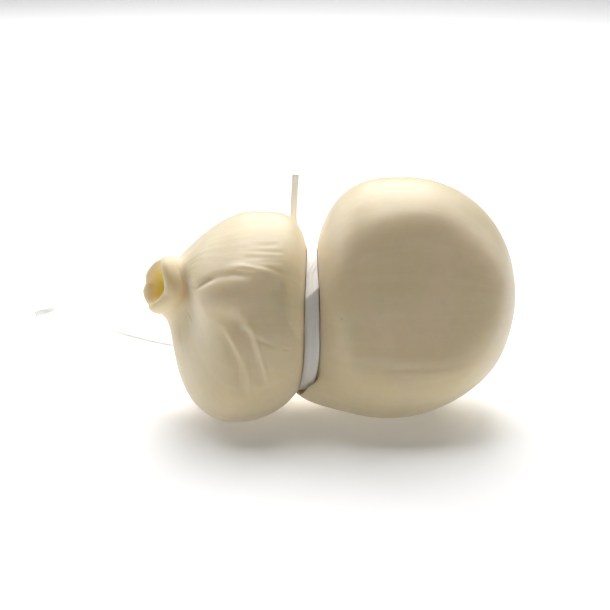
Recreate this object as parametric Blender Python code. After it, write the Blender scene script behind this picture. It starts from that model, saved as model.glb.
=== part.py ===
"""A white two-lobed cheese lying on its side, tied at the waist with a flat ribbon.

The cheese is one solid, lofted through rings that stand round its long axis: from the floor of the
hollow in its nozzle, over the nozzle's lip, along the small lobe, through the groove that the
ribbon pulls, and over the big lobe to its far end. Every ring has four rails, at the top, the
front, the bottom and the back, which each lobe draws as quarter superellipses.

+X runs along the cheese from the nozzle to the big lobe, the front faces -Y and +Z is up. The
origin is on the table, under the middle of the cheese. All sizes are real ones, in metres.
"""

import math

import bmesh
import bpy
import numpy as np
from mathutils import Matrix

MM = 0.001
GAP = 0.3 * MM                      # between pieces that touch

# Where the parts of the cheese are along its axis
BIG_END_X = 62.6 * MM               # far end of the big lobe
NOZZLE_X = -50.8 * MM               # middle of the ring where the nozzle grows out
GROOVE_X = {"top": -5.9 * MM, "front": -5.9 * MM, "bottom": -9.0 * MM, "back": -5.9 * MM}
GROOVE_WIDTH = {"top": 3.8 * MM, "front": 5.4 * MM, "bottom": 4.4 * MM, "back": 5.4 * MM}
NECK_TOP = 57.0 * MM
NECK_BOTTOM = 10.4 * MM
NECK_FRONT = -25.9 * MM
NECK_BACK = 20.7 * MM

# Heights of the lobes' axes, and how far each axis stands from the middle plane
SMALL_AXIS_Z = 35.2 * MM
BIG_AXIS_Z = 41.5 * MM
SMALL_AXIS_Y = -3.9 * MM
BIG_AXIS_Y = -0.9 * MM

# Each rail of a lobe: x of its widest place, its distance from the lobe's axis there, how far from
# the axis it meets the groove's wall, and its squareness towards the nozzle or groove on the left
# and towards the groove or far end on the right (2 is an ellipse, more is squarer)
SMALL_RAILS = {
    "top": (-25.4 * MM, 35.2 * MM, 23.3 * MM, 1.75, 4.0),
    "front": (-29.0 * MM, 33.0 * MM, 26.0 * MM, 2.2, 3.2),
    "bottom": (-33.0 * MM, 35.8 * MM, 25.6 * MM, 2.15, 1.9),
    "back": (-29.0 * MM, 33.0 * MM, 25.0 * MM, 2.0, 3.0),
}
BIG_RAILS = {
    "top": (24.5 * MM, 39.8 * MM, 17.0 * MM, 2.7, 2.1),
    "front": (24.0 * MM, 39.0 * MM, 26.5 * MM, 2.6, 2.1),
    "bottom": (20.0 * MM, 42.1 * MM, 33.6 * MM, 2.15, 1.95),
    "back": (23.0 * MM, 38.0 * MM, 24.5 * MM, 2.4, 2.1),
}

# The big lobe's front was pressed flat: depth where the flat starts, and how soft its edge is
FLAT_START = 30.9 * MM
FLAT_SOFTNESS = 5.0 * MM

# The nozzle: a short tube that leans up and towards the front
NOZZLE_Y = -4.9 * MM
NOZZLE_Z = 45.4 * MM
NOZZLE_RISE = math.radians(17)
NOZZLE_YAW = math.radians(31)
NOZZLE_LENGTH = 8.6 * MM
NOZZLE_RADIUS = 9.8 * MM            # where it meets the lobe
NOZZLE_NECK_RADIUS = 9.3 * MM
NOZZLE_RIM_RADIUS = 10.0 * MM
MOUTH_RADIUS = 5.6 * MM
LIP_LENGTH = 3.8 * MM               # how far back from the nozzle's end the lip is rounded
HOLLOW_DEPTH = 6.5 * MM             # below the rounding of the lip
HOLLOW_FLOOR_RADIUS = 3.0 * MM

# Folds in the front, each an arc through three places (x and height), with how deep it goes in
# (a ridge has a depth below nothing), how wide it is, and how high the lip beside it stands
FOLDS = (
    ((-50.5, 48.4), (-38.5, 55.9), (-24.0, 56.0), 1.1, 1.1, 0.3),
    ((-36.0, 58.3), (-25.8, 60.2), (-14.0, 56.6), -0.4, 1.2, 0.0),
    ((-34.8, 43.0), (-31.2, 31.0), (-28.2, 17.5), 0.9, 1.5, 0.3),
    ((-30.1, 48.6), (-25.9, 37.6), (-22.1, 20.5), 0.9, 1.7, 0.3),
    ((-25.6, 39.5), (-21.8, 37.6), (-16.8, 34.6), -0.3, 2.0, 0.0),
    ((-16.4, 56.0), (-14.2, 47.0), (-10.9, 34.0), -0.5, 1.6, 0.0),
    ((17.0, 27.2), (33.0, 26.6), (49.0, 29.2), 0.6, 1.1, 0.3),
)
FOLD_FADE_IN = 0.25                 # share of its length over which a fold starts
FOLD_FADE_OUT = 0.3
LIP_OFFSET = 1.9                    # from the fold to its lip, in widths of the fold
# Hollows in the front: middle (x and height), half width and half height, how far the ellipse is
# turned anticlockwise in degrees, and depth
HOLLOWS = (
    ((-19.5, 47.0), (6.4, 10.5), 12.0, 1.5),
    ((-46.2, 48.3), (3.4, 3.0), 0.0, 1.8),
    ((-28.0, 43.5), (8.0, 4.0), 0.0, 0.4),
)
# Swellings on the lobe, given in the same way
SWELLINGS = (
    ((-34.5, 53.2), (8.5, 2.4), 12.0, 0.6),
)
RELIEF_DEPTH = 12 * MM              # the relief fades out from here to the middle plane

# The ribbon: its thickness, and the fold at the front where it stands off the neck
RIBBON_THICKNESS = 0.7 * MM
RIBBON_SIDE_GAP = 0.5 * MM          # from its edges to the groove's walls
RIBBON_FOLD_TURN = math.radians(57)
RIBBON_FOLD_REACH = math.radians(30)
RIBBON_FOLD_HEIGHT = 1.1 * MM

# The knot, behind the neck: where it is along the cheese, its turn round the neck from the top,
# and its half sizes along the cheese, outwards and round the neck
KNOT_X = -6.6 * MM
KNOT_TURN = math.radians(-70)
KNOT_SIZE = (2.9 * MM, 3.3 * MM, 5.0 * MM)

# The two free ends of the ribbon, folded lengthwise, as places they pass in millimetres. The short
# one stands up behind the small lobe. The long one drops to the table and runs away to the left.
TAIL_WIDTH = 2.4 * MM
SHORT_TAIL = (
    (-7.0, 22.3, 48.5), (-8.6, 22.3, 51.4), (-10.4, 21.0, 55.0), (-11.6, 19.4, 58.8),
    (-12.1, 18.1, 62.6), (-12.1, 17.4, 66.2), (-11.9, 17.0, 70.2), (-11.7, 16.7, 74.6),
    (-11.4, 16.4, 79.0),
)
LONG_TAIL = (
    (-6.8, 25.7, 38.2), (-7.8, 29.1, 33.2), (-10.2, 33.5, 27.0), (-14.0, 38.5, 20.0),
    (-19.6, 43.7, 13.2), (-26.6, 48.7, 7.6), (-34.6, 53.5, 3.8), (-43.4, 58.1, 1.9),
    (-52.6, 62.7, 1.4), (-62.0, 67.9, 1.3), (-72.0, 74.3, 1.4), (-81.5, 82.1, 2.0),
    (-90.0, 90.1, 3.4), (-97.5, 96.5, 4.8), (-104.5, 99.9, 4.4), (-111.0, 100.7, 2.6),
    (-116.5, 99.5, 1.3),
)

# How finely the solids are divided
RING_POINTS = 68
FRONT_CROWDING = 0.55               # how much closer the points stand at the front of a ring
NOZZLE_INNER_STEPS = 6
LIP_STEPS = 6
TUBE_STEPS = 5
SMALL_LOBE_STEPS = 18
BIG_LOBE_STEPS = 13
BIG_END_STEPS = 11
RIBBON_STEPS = 56
TAIL_POINTS_SHORT = 16
TAIL_POINTS_LONG = 40
KNOT_SEGMENTS = 16
KNOT_RINGS = 10
SHARP_EDGE = math.radians(40)       # the ribbon's edges stay sharp where they turn more than this

RAILS = ("top", "front", "bottom", "back")


def quarter(share, widest_x, radius, end_x, end_radius, power):
    """A rail as a quarter superellipse, from its widest place (share 0) to its end (share 1).

    x = widest_x + reach * sin(turn) ** (2 / power), distance = radius * cos(turn) ** (2 / power).
    """
    end_turn = math.acos(min(1.0, max(0.0, end_radius / radius)) ** (power / 2))
    reach = (end_x - widest_x) / math.sin(end_turn) ** (2 / power)
    turn = share * end_turn
    return widest_x + reach * np.sin(turn) ** (2 / power), radius * np.cos(turn) ** (2 / power)


def smooth(share):
    """A step from 0 to 1 that starts and ends level."""
    return share * share * (3 - 2 * share)


class Rings:
    """Rows of rings. Each has x and distance from the axis on its four rails, and the axis."""

    def __init__(self):
        self.rows = []

    def add(self, rails, axis_y, axis_z):
        """Add rings. rails maps a rail's name to its x and its distance, each a number a ring."""
        count = len(np.atleast_1d(rails["top"][0]))
        columns = []
        for name in RAILS:
            columns += [np.broadcast_to(value, count) for value in rails[name]]
        columns += [np.broadcast_to(axis_y, count), np.broadcast_to(axis_z, count)]
        self.rows.append(np.stack(columns, axis=1))

    def points(self, turns):
        """All rings' points, one row a ring, at the given angles from the top to the front.

        Height and depth follow quarter ellipses between the rails, and x eases from rail to rail.
        """
        table = np.concatenate(self.rows)[:, :, None]
        x_top, top, x_front, front, x_bottom, bottom, x_back, back, axis_y, axis_z = (
            table.transpose(1, 0, 2))
        up, down = np.maximum(np.cos(turns), 0), np.maximum(-np.cos(turns), 0)
        near, far = np.maximum(np.sin(turns), 0), np.maximum(-np.sin(turns), 0)
        x = x_top * up ** 2 + x_bottom * down ** 2 + x_front * near ** 2 + x_back * far ** 2
        y = axis_y - front * near + back * far
        z = axis_z + top * up - bottom * down
        return np.stack([x, y, z], axis=2)


def nozzle_rails(along, radius):
    """Rails of rings round the nozzle's tilted axis, at distances along it from the lobe."""
    x = NOZZLE_X - along * math.cos(NOZZLE_RISE) * math.cos(NOZZLE_YAW)
    rise, yaw = math.sin(NOZZLE_RISE), math.sin(NOZZLE_YAW)
    tall, wide = radius * math.cos(NOZZLE_RISE), radius * math.cos(NOZZLE_YAW)
    rails = {"top": (x + radius * rise, tall), "bottom": (x - radius * rise, tall),
             "front": (x + radius * yaw, wide), "back": (x - radius * yaw, wide)}
    axis_y = NOZZLE_Y - along * math.cos(NOZZLE_RISE) * yaw
    axis_z = NOZZLE_Z + along * rise
    return rails, axis_y, axis_z


def add_nozzle(rings):
    """The hollow from its floor outwards, the round lip, and the tube back to the lobe."""
    depth = np.linspace(1, 0, NOZZLE_INNER_STEPS + 1)[:-1]
    inner = MOUTH_RADIUS + (HOLLOW_FLOOR_RADIUS - MOUTH_RADIUS) * depth ** 2
    rings.add(*nozzle_rails(NOZZLE_LENGTH - LIP_LENGTH - HOLLOW_DEPTH * depth, inner))
    lip = (NOZZLE_RIM_RADIUS - MOUTH_RADIUS) / 2
    turn = np.linspace(0, math.pi, LIP_STEPS + 1)
    rings.add(*nozzle_rails(NOZZLE_LENGTH - LIP_LENGTH * (1 - np.sin(turn)),
                            MOUTH_RADIUS + lip * (1 - np.cos(turn))))
    share = np.linspace(0, 1, TUBE_STEPS + 1)[1:-1]
    flare = np.cos(share * math.pi / 2) ** 2
    tube = NOZZLE_NECK_RADIUS + (NOZZLE_RIM_RADIUS - NOZZLE_NECK_RADIUS) * flare
    rings.add(*nozzle_rails((NOZZLE_LENGTH - LIP_LENGTH) * (1 - share), tube))


def add_small_lobe(rings):
    """The small lobe, from the nozzle to the groove's wall."""
    start, start_y, start_z = nozzle_rails(0.0, NOZZLE_RADIUS)
    share = np.linspace(1, 0, SMALL_LOBE_STEPS + 1)
    rails = {}
    for name in RAILS:
        widest_x, radius, _, power, _ = SMALL_RAILS[name]
        end_x, end_radius = start[name]
        if name == "top":
            end_radius += start_z - SMALL_AXIS_Z
        elif name == "bottom":
            end_radius -= start_z - SMALL_AXIS_Z
        rails[name] = quarter(share, widest_x, radius, end_x, end_radius, power)
    axis_z = SMALL_AXIS_Z + (start_z - SMALL_AXIS_Z) * smooth(share)
    shift = axis_z - SMALL_AXIS_Z
    rails["top"] = (rails["top"][0], rails["top"][1] - shift)
    rails["bottom"] = (rails["bottom"][0], rails["bottom"][1] + shift)
    rings.add(rails, SMALL_AXIS_Y + (start_y - SMALL_AXIS_Y) * smooth(share), axis_z)

    share = np.linspace(0, 1, SMALL_LOBE_STEPS + 1)[1:]
    rails = {}
    for name in RAILS:
        widest_x, radius, wall_radius, _, power = SMALL_RAILS[name]
        end_x = GROOVE_X[name] - GROOVE_WIDTH[name] / 2
        rails[name] = quarter(share, widest_x, radius, end_x, wall_radius, power)
    rings.add(rails, SMALL_AXIS_Y, SMALL_AXIS_Z)


def add_neck(rings, side=(-0.5, 0.0, 0.5), spread=0.0, lift=0.0):
    """Rings over the groove's floor, at shares of its width, kept off its walls and lifted off it."""
    axis_z = (NECK_TOP + NECK_BOTTOM) / 2
    axis_y = (NECK_FRONT + NECK_BACK) / 2
    reach = {"top": NECK_TOP - axis_z, "bottom": axis_z - NECK_BOTTOM,
             "front": axis_y - NECK_FRONT, "back": NECK_BACK - axis_y}
    side = np.array(side)
    rings.add({name: (GROOVE_X[name] + side * (GROOVE_WIDTH[name] + spread), reach[name] + lift)
               for name in RAILS}, axis_y, axis_z)


def add_big_lobe(rings):
    """The big lobe, from the groove's wall to its far end."""
    share = np.linspace(1, 0, BIG_LOBE_STEPS + 1)
    rails = {}
    for name in RAILS:
        widest_x, radius, wall_radius, power, _ = BIG_RAILS[name]
        end_x = GROOVE_X[name] + GROOVE_WIDTH[name] / 2
        rails[name] = quarter(share, widest_x, radius, end_x, wall_radius, power)
    rings.add(rails, BIG_AXIS_Y, BIG_AXIS_Z)

    share = np.linspace(0, 1, BIG_END_STEPS + 1)[1:-1]
    rails = {}
    for name in RAILS:
        widest_x, radius, _, _, power = BIG_RAILS[name]
        rails[name] = quarter(share, widest_x, radius, BIG_END_X, 0.0, power)
    rings.add(rails, BIG_AXIS_Y, BIG_AXIS_Z)


def press_front_flat(points):
    """Ease the big lobe's front towards a flat: what stands past the start fades out softly."""
    x, y = points[..., 0], points[..., 1]
    past = np.maximum(-y - FLAT_START, 0) * (x > 0)
    points[..., 1] = y + past - FLAT_SOFTNESS * (1 - np.exp(-past / FLAT_SOFTNESS))


def arc_distance(x, z, start, middle, end, steps=24):
    """Distance to a parabola through three places, signed by side, and the share along it."""
    share = np.linspace(0, 1, steps + 1)[:, None]
    start, middle, end = (np.array(place) * MM for place in (start, middle, end))
    path = (start * (1 - share) * (1 - 2 * share) + middle * 4 * share * (1 - share)
            + end * share * (2 * share - 1))
    along = np.diff(path, axis=0)
    place = np.stack([x, z], axis=-1)[..., None, :]
    offset = place - path[:-1]
    length = np.sum(along ** 2, axis=-1)
    nearest = np.clip(np.sum(offset * along, axis=-1) / length, 0, 1)
    gap = offset - nearest[..., None] * along
    distance = np.sqrt(np.sum(gap ** 2, axis=-1))
    pick = np.argmin(distance, axis=-1)[..., None]
    side = along[:, 0] * offset[..., 1] - along[:, 1] * offset[..., 0]
    distance = np.take_along_axis(distance, pick, -1)[..., 0]
    side = np.sign(np.take_along_axis(side, pick, -1)[..., 0])
    nearest = (np.take_along_axis(nearest, pick, -1)[..., 0] + pick[..., 0]) / steps
    return distance * side, nearest


def relief(points):
    """How far the skin stands out from the plain lobes, for the folds, hollows and swellings.

    A fold is a bell-shaped furrow along its arc with a lip beside it, and fades at both ends. A
    hollow or swelling is a bell shape over an ellipse. All are seen from the front.
    """
    x, y, z = points[..., 0], points[..., 1], points[..., 2]
    rise = np.zeros_like(x)
    for start, middle, end, depth, width, lip in FOLDS:
        distance, share = arc_distance(x, z, start, middle, end)
        fade = (smooth(np.clip(share / FOLD_FADE_IN, 0, 1))
                * smooth(np.clip((1 - share) / FOLD_FADE_OUT, 0, 1)))
        across = distance / (width * MM)
        furrow = lip * np.exp(-(across - LIP_OFFSET) ** 2) - depth * np.exp(-across ** 2)
        rise += furrow * MM * fade
    for sign, shapes in ((-1, HOLLOWS), (1, SWELLINGS)):
        for middle, half, turn, depth in shapes:
            turn = math.radians(turn)
            across, up = x - middle[0] * MM, z - middle[1] * MM
            u = (across * math.cos(turn) + up * math.sin(turn)) / (half[0] * MM)
            v = (up * math.cos(turn) - across * math.sin(turn)) / (half[1] * MM)
            rise += sign * depth * MM * np.exp(-u ** 2 - v ** 2)
    return rise * smooth(np.clip(-y / RELIEF_DEPTH, 0, 1))


def outward(points):
    """Unit normals of a grid of rings, from the differences along it and round it."""
    along = np.gradient(points, axis=0)
    around = np.roll(points, -1, axis=1) - np.roll(points, 1, axis=1)
    normal = np.cross(around, along)
    return normal / np.linalg.norm(normal, axis=2, keepdims=True)


def cheese_points(turns):
    """The rings of the whole cheese as an array: ring, angle, coordinate."""
    rings = Rings()
    add_nozzle(rings)
    add_small_lobe(rings)
    add_neck(rings)
    add_big_lobe(rings)
    points = rings.points(turns)
    press_front_flat(points)
    outside = slice(NOZZLE_INNER_STEPS, None)
    lobes = points[outside]
    lobes += outward(lobes) * relief(lobes)[..., None]
    points[..., 2] = np.maximum(points[..., 2], 0)
    return points


def crowded_turns(count):
    """Angles round a ring, from the top, standing closer together at the front."""
    even = np.arange(count) * 2 * math.pi / count
    return even + FRONT_CROWDING * np.cos(even)


def loft(name, points, start, end):
    """A closed mesh through rows of rings, with a fan to one point at each end."""
    rows, around = points.shape[:2]
    vertices = np.concatenate([points.reshape(-1, 3), [start, end]])
    ring = np.arange(around)
    after = np.roll(ring, -1)
    faces = []
    for row in range(rows - 1):
        here, there = row * around, (row + 1) * around
        faces += np.stack([here + ring, here + after, there + after, there + ring], 1).tolist()
    last = (rows - 1) * around
    faces += [[rows * around, int(b), int(a)] for a, b in zip(ring, after)]
    faces += [[rows * around + 1, int(last + a), int(last + b)] for a, b in zip(ring, after)]
    mesh = bpy.data.meshes.new(name)
    mesh.from_pydata(vertices.tolist(), [], faces)
    mesh.shade_smooth()
    mesh.update()
    return bpy.data.objects.new(name, mesh)


def material(name, colour, roughness):
    """A plain material in the part's own colour."""
    made = bpy.data.materials.new(name)
    made.use_nodes = True
    shader = made.node_tree.nodes["Principled BSDF"]
    shader.inputs["Base Color"].default_value = (*colour, 1)
    shader.inputs["Roughness"].default_value = roughness
    shader.inputs["Metallic"].default_value = 0
    return made


def make_cheese():
    points = cheese_points(crowded_turns(RING_POINTS))
    floor = points[0].mean(axis=0)
    cheese = loft("cheese", points, floor, (BIG_END_X, BIG_AXIS_Y, BIG_AXIS_Z))
    cheese.data.materials.append(material("cheese_cream", (0.87, 0.80, 0.62), 0.42))
    return cheese


def make_band(finish):
    """The ribbon round the neck: rings over the groove's floor, joined into a closed hoop."""
    turns = np.arange(RIBBON_STEPS) * 2 * math.pi / RIBBON_STEPS
    bump = 1 - np.abs(turns - RIBBON_FOLD_TURN) / RIBBON_FOLD_REACH
    fold = RIBBON_FOLD_HEIGHT * np.maximum(bump, 0)
    layers = []
    for side, lift in ((-0.5, 0.0), (-0.5, 1.0), (0.0, 1.0), (0.5, 1.0), (0.5, 0.0), (0.0, 0.0)):
        rings = Rings()
        add_neck(rings, [side], -2 * RIBBON_SIDE_GAP, GAP + lift * RIBBON_THICKNESS)
        layer = rings.points(turns)[0]
        middle = layer.mean(axis=0)
        away = (layer - middle) * (0, 1, 1)
        layers.append(layer + away / np.linalg.norm(away, axis=1, keepdims=True) * fold[:, None])
    points = np.stack(layers)
    count = len(layers)
    here = np.arange(count)[:, None] * RIBBON_STEPS + np.arange(RIBBON_STEPS)
    after = np.roll(here, -1, axis=1)
    faces = np.stack([here, after, np.roll(after, -1, axis=0), np.roll(here, -1, axis=0)], 2)
    mesh = bpy.data.meshes.new("ribbon_band")
    mesh.from_pydata(points.reshape(-1, 3).tolist(), [], faces.reshape(-1, 4).tolist())
    mesh.materials.append(finish)
    mesh.set_sharp_from_angle(angle=SHARP_EDGE)
    mesh.update()
    return bpy.data.objects.new("ribbon_band", mesh)


def make_knot(finish):
    """The knot behind the neck, squeezed between the lobes: a ball stretched round the neck."""
    axis_y, axis_z = (NECK_FRONT + NECK_BACK) / 2, (NECK_TOP + NECK_BOTTOM) / 2
    out = (NECK_TOP - NECK_BOTTOM) / 2 + RIBBON_THICKNESS + 2 * GAP + KNOT_SIZE[1]
    ball = bmesh.new()
    bmesh.ops.create_uvsphere(ball, u_segments=KNOT_SEGMENTS, v_segments=KNOT_RINGS, radius=1)
    stretch = Matrix.Diagonal((KNOT_SIZE[0], KNOT_SIZE[2], KNOT_SIZE[1], 1))
    bmesh.ops.transform(ball, matrix=Matrix.Rotation(KNOT_TURN, 4, "X") @ stretch, verts=ball.verts)
    mesh = bpy.data.meshes.new("ribbon_knot")
    ball.to_mesh(mesh)
    ball.free()
    mesh.materials.append(finish)
    mesh.shade_smooth()
    knot = bpy.data.objects.new("ribbon_knot", mesh)
    knot.location = (KNOT_X, axis_y - out * math.sin(KNOT_TURN),
                     axis_z + out * math.cos(KNOT_TURN))
    return knot


def smooth_route(places, count):
    """Points at even shares of a smooth curve through the places, by Catmull and Rom's rule."""
    places = np.array(places) * MM
    padded = np.concatenate([[2 * places[0] - places[1]], places, [2 * places[-1] - places[-2]]])
    at = np.linspace(0, len(places) - 1, count)
    first = np.minimum(at.astype(int), len(places) - 2)
    share = (at - first)[:, None]
    a, b, c, d = (padded[first + step] for step in range(4))
    return 0.5 * (2 * b + (c - a) * share + (2 * a - 5 * b + 4 * c - d) * share ** 2
                  + (3 * b - a - 3 * c + d) * share ** 3)


def make_tail(name, places, count, finish):
    """A free end of the ribbon, as a plain round cord along its route."""
    curve = bpy.data.curves.new(name, "CURVE")
    curve.dimensions = "3D"
    curve.bevel_depth = TAIL_WIDTH / 2
    curve.bevel_resolution = 2
    curve.use_fill_caps = True
    spline = curve.splines.new("POLY")
    route = smooth_route(places, count)
    spline.points.add(count - 1)
    spline.points.foreach_set("co", np.c_[route, np.ones(count)].ravel())
    curve.materials.append(finish)
    return bpy.data.objects.new(name, curve)


def main():
    for old in list(bpy.data.objects):
        bpy.data.objects.remove(old)
    parts = bpy.data.collections.new("scamorza")
    bpy.context.scene.collection.children.link(parts)
    ribbon = material("ribbon_white", (0.80, 0.77, 0.73), 0.5)
    parts.objects.link(make_cheese())
    parts.objects.link(make_band(ribbon))
    parts.objects.link(make_knot(ribbon))
    parts.objects.link(make_tail("ribbon_tail_short", SHORT_TAIL, TAIL_POINTS_SHORT, ribbon))
    parts.objects.link(make_tail("ribbon_tail_long", LONG_TAIL, TAIL_POINTS_LONG, ribbon))


main()
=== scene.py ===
"""Looks of a whole scamorza: white stretched-curd cheese, tied round its waist with flat ribbon.

Lengths with MM are metres, and the tables' bare lengths are millimetres. The cheese's measures and
the ribbon's routes repeat the part's own. X runs along the cheese, -Y is towards the camera, and +Z
is up.
"""

import math

import bpy
import numpy as np
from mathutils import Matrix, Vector

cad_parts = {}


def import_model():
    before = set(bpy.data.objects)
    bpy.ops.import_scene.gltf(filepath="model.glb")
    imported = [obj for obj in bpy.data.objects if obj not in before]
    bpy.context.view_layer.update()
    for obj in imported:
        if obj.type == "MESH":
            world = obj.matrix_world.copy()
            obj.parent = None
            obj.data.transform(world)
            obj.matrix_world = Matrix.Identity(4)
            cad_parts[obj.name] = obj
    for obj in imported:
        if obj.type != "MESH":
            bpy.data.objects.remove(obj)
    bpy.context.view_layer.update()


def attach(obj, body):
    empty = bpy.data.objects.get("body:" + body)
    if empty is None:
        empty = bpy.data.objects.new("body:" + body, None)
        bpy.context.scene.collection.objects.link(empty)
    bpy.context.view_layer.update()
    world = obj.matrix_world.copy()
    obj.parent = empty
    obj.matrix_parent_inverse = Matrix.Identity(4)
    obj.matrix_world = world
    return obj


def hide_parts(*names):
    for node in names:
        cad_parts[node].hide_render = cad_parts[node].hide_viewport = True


MM = 0.001

# The camera: it looks down at the cheese's middle
CAMERA_AIM = (-8.2 * MM, -1.9 * MM, 38.1 * MM)
CAMERA_DISTANCE = 572.7 * MM
CAMERA_DOWN = math.radians(18)
CAMERA_LENS = 100
# Soft lights: name, direction as degrees round from the back and up, and power. Then what they
# look at, how far from it they stand, and their size
LIGHTS = (
    ("light_back", 0, 45, 5.6),
    ("light_above", 0, 80, 6.0),
    ("light_back_left", -45, 30, 2.9),
    ("light_back_right", 45, 45, 2.3),
)
LIGHTS_AIM = Vector((0, 0, 0.04))
LIGHTS_AWAY = 0.95
LIGHTS_SIZE = (0.6, 0.6)
# The floor: half its side, its colour and how strongly it glows
FLOOR_HALF = 4
FLOOR_COLOUR = (0.93, 0.93, 0.93, 1)
FLOOR_GLOW = 0.185

# The cheese's ends and the groove round its waist, by rail
BIG_END_X = 62.6 * MM
NOZZLE_X = -50.8 * MM
GROOVE_X = {"top": -5.9 * MM, "front": -5.9 * MM, "bottom": -9.0 * MM, "back": -5.9 * MM}
GROOVE_WIDTH = {"top": 3.8 * MM, "front": 5.4 * MM, "bottom": 4.4 * MM, "back": 5.4 * MM}
NECK_AXIS_Y = -2.6 * MM
NECK_AXIS_Z = 33.7 * MM
NECK_RADIUS = 23.3 * MM

# The lobes' rails: x of the widest place, radius there, radius at the groove's wall, and the powers
# of the quarters to the left and to the right of the widest place
SMALL_AXIS_Z = 35.2 * MM
SMALL_AXIS_Y = -3.9 * MM
SMALL_RAILS = {
    "top": (-25.4 * MM, 35.2 * MM, 23.3 * MM, 1.75, 4.0),
    "front": (-29.0 * MM, 33.0 * MM, 26.0 * MM, 1.9, 3.2),
    "bottom": (-33.0 * MM, 35.8 * MM, 25.6 * MM, 2.15, 1.9),
    "back": (-29.0 * MM, 33.0 * MM, 25.0 * MM, 2.0, 3.0),
}
BIG_AXIS_Z = 41.5 * MM
BIG_AXIS_Y = -0.9 * MM
BIG_RAILS = {
    "top": (24.5 * MM, 39.8 * MM, 17.0 * MM, 2.7, 2.1),
    "front": (24.0 * MM, 39.0 * MM, 26.5 * MM, 2.6, 2.1),
    "bottom": (20.0 * MM, 42.1 * MM, 33.6 * MM, 2.15, 1.95),
    "back": (23.0 * MM, 38.0 * MM, 24.5 * MM, 2.4, 2.1),
}
# The flat on the big lobe's front, which leans back: how far in front of y = 0 it lies at its foot
# and at its top, and the heights of these. Its upper right corner lies further in: how much, and
# from which place, in which direction and over which reach that grows. Last come the x between
# which the flat fades in from the left, and how softly the skin bends into it
FLAT_START = (30.8 * MM, 22.8 * MM)
FLAT_HEIGHTS = (20 * MM, 60 * MM)
FLAT_CORNER = 5.4 * MM
FLAT_CORNER_FROM = (25 * MM, 45 * MM)
FLAT_CORNER_WAY = (0.8, 0.6)
FLAT_CORNER_REACH = (-6 * MM, 34 * MM)
FLAT_LEFT = (-3 * MM, 10 * MM)
FLAT_SOFTNESS = 11 * MM
# The big lobe's lean over the groove: how far, the angles from the top between which it starts and
# those between which it ends, the heights over the groove's floor between which it starts, and the
# x between which it fades out
LEAN = 5.2 * MM
LEAN_TURNS = (110, 142)
LEAN_END_TURNS = (190, 240)
LEAN_HEIGHTS = (1.2 * MM, 2.6 * MM)
LEAN_REACH = (-4 * MM, 8 * MM)

# The neck's open end
NOZZLE_Y = -4.9 * MM
NOZZLE_Z = 45.4 * MM
NOZZLE_RISE = math.radians(17)
NOZZLE_YAW = math.radians(31)
NOZZLE_LENGTH = 8.6 * MM
NOZZLE_RADIUS = 9.8 * MM
NOZZLE_NECK_RADIUS = 9.3 * MM
NOZZLE_RIM_RADIUS = 10.0 * MM
MOUTH_RADIUS = 5.6 * MM
LIP_LENGTH = 3.8 * MM
HOLLOW_DEPTH = 6.5 * MM
HOLLOW_FLOOR_RADIUS = 3.0 * MM
NOZZLE_AXIS = np.array([-math.cos(NOZZLE_RISE) * math.cos(NOZZLE_YAW),
                        -math.cos(NOZZLE_RISE) * math.sin(NOZZLE_YAW), math.sin(NOZZLE_RISE)])
NOZZLE_ROOT = np.array([NOZZLE_X, NOZZLE_Y, NOZZLE_Z])
# How the rim differs from a round one: middle and width in degrees from the top round by the far
# side, and how far it moves along the axis, out from it on its outside, and out on its inside
LIP_BELLS = (
    (128, 28, 1.3, 0.8, 0.0),
    (103, 11, -0.5, -0.35, 0.0),
    (72, 26, 0.0, -0.7, 0.0),
    (-108, 13, 0.0, 0.0, -0.7),
    (112, 40, 0.0, 0.0, -0.8),
)
MOUTH_TALLER = 1.3
MOUTH_NARROWER = 0.8

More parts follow.
